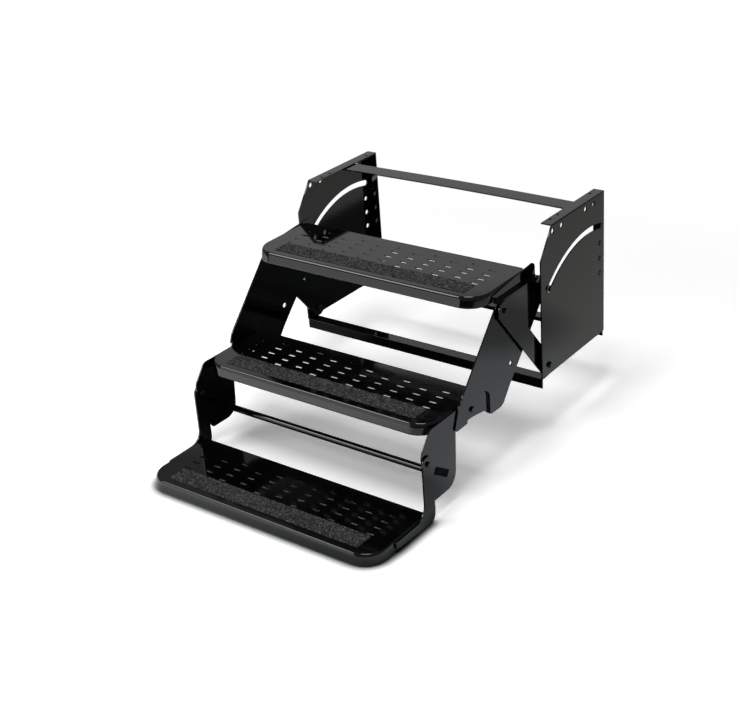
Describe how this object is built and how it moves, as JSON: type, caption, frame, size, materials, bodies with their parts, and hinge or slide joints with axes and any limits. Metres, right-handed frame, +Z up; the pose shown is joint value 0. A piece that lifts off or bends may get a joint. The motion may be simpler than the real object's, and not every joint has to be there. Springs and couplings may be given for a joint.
{
  "type": "folding entry step",
  "caption": "Folding steel entry step for a camper: perforated treads with grit strips on hinged arms and side plates, hung in an under-floor frame with arc slots and swing links.",
  "frame": {"origin": "middle of the top mounting plane, on the mirror plane and half-way along the frame plates", "axes": "+X to the right seen from the foot of the stairs, +Y towards the vehicle, +Z up"},
  "size_m": [0.621, 0.8242, 0.451],
  "materials": {
    "black_powder_coat": "gloss black powder coat",
    "zinc_steel": "black-oxide and zinc fasteners",
    "black_rubber": "dull black rubber",
    "grit_tape": "coarse anti-slip grit"
  },
  "bodies": {
    "frame": {"frame_plate_right": "black_powder_coat", "frame_plate_left": "black_powder_coat", "top_strap": "black_powder_coat", "front_cross_angle": "black_powder_coat", "rear_cross_angle": "black_powder_coat", "link_foot_bolts": "zinc_steel", "link_foot_nuts": "zinc_steel"},
    "links": {"link_arm_right": "black_powder_coat", "link_arm_left": "black_powder_coat"},
    "carriage": {"side_plate_right": "black_powder_coat", "side_plate_left": "black_powder_coat", "tread_bracket_right": "black_powder_coat", "tread_bracket_left": "black_powder_coat", "top_tread": "black_powder_coat", "top_grip_strip": "grit_tape", "link_head_bolts": "zinc_steel", "link_head_nuts": "zinc_steel", "slot_rollers": "zinc_steel", "roller_bolts": "zinc_steel", "roller_nuts": "zinc_steel", "middle_pivot_bolts": "zinc_steel", "middle_pivot_nuts": "zinc_steel"},
    "middle_stage": {"hook_plate_right": "black_powder_coat", "hook_plate_left": "black_powder_coat", "hook_rest_pads": "black_rubber", "cross_rod": "black_powder_coat", "middle_tread": "black_powder_coat", "middle_grip_strip": "grit_tape", "bottom_pivot_bolts": "zinc_steel", "bottom_pivot_nuts": "zinc_steel"},
    "bottom_stage": {"bottom_arm_right": "black_powder_coat", "bottom_arm_left": "black_powder_coat", "bottom_tread": "black_powder_coat", "bottom_grip_strip": "grit_tape"}
  },
  "joints": [
    {"name": "link_swing", "type": "hinge", "parent": "frame", "child": "links", "pos_m": [0, -0.1037, -0.297], "axis": [-1, 0, 0], "range_deg": [0, 56]},
    {"name": "carriage_level", "type": "hinge", "parent": "links", "child": "carriage", "pos_m": [0, -0.25157, -0.11888], "axis": [1, 0, 0], "range_deg": [0, 61.7]},
    {"name": "middle_fold", "type": "hinge", "parent": "carriage", "child": "middle_stage", "pos_m": [0, -0.36097, -0.28098], "axis": [-1, 0, 0], "range_deg": [0, 120]},
    {"name": "bottom_fold", "type": "hinge", "parent": "middle_stage", "child": "bottom_stage", "pos_m": [0, -0.51297, -0.32198], "axis": [-1, 0, 0], "range_deg": [0, 180]}
  ],
  "couplings": [
    {"joint": "carriage_level", "follows": "link_swing", "ratio": 1.1}
  ]
}
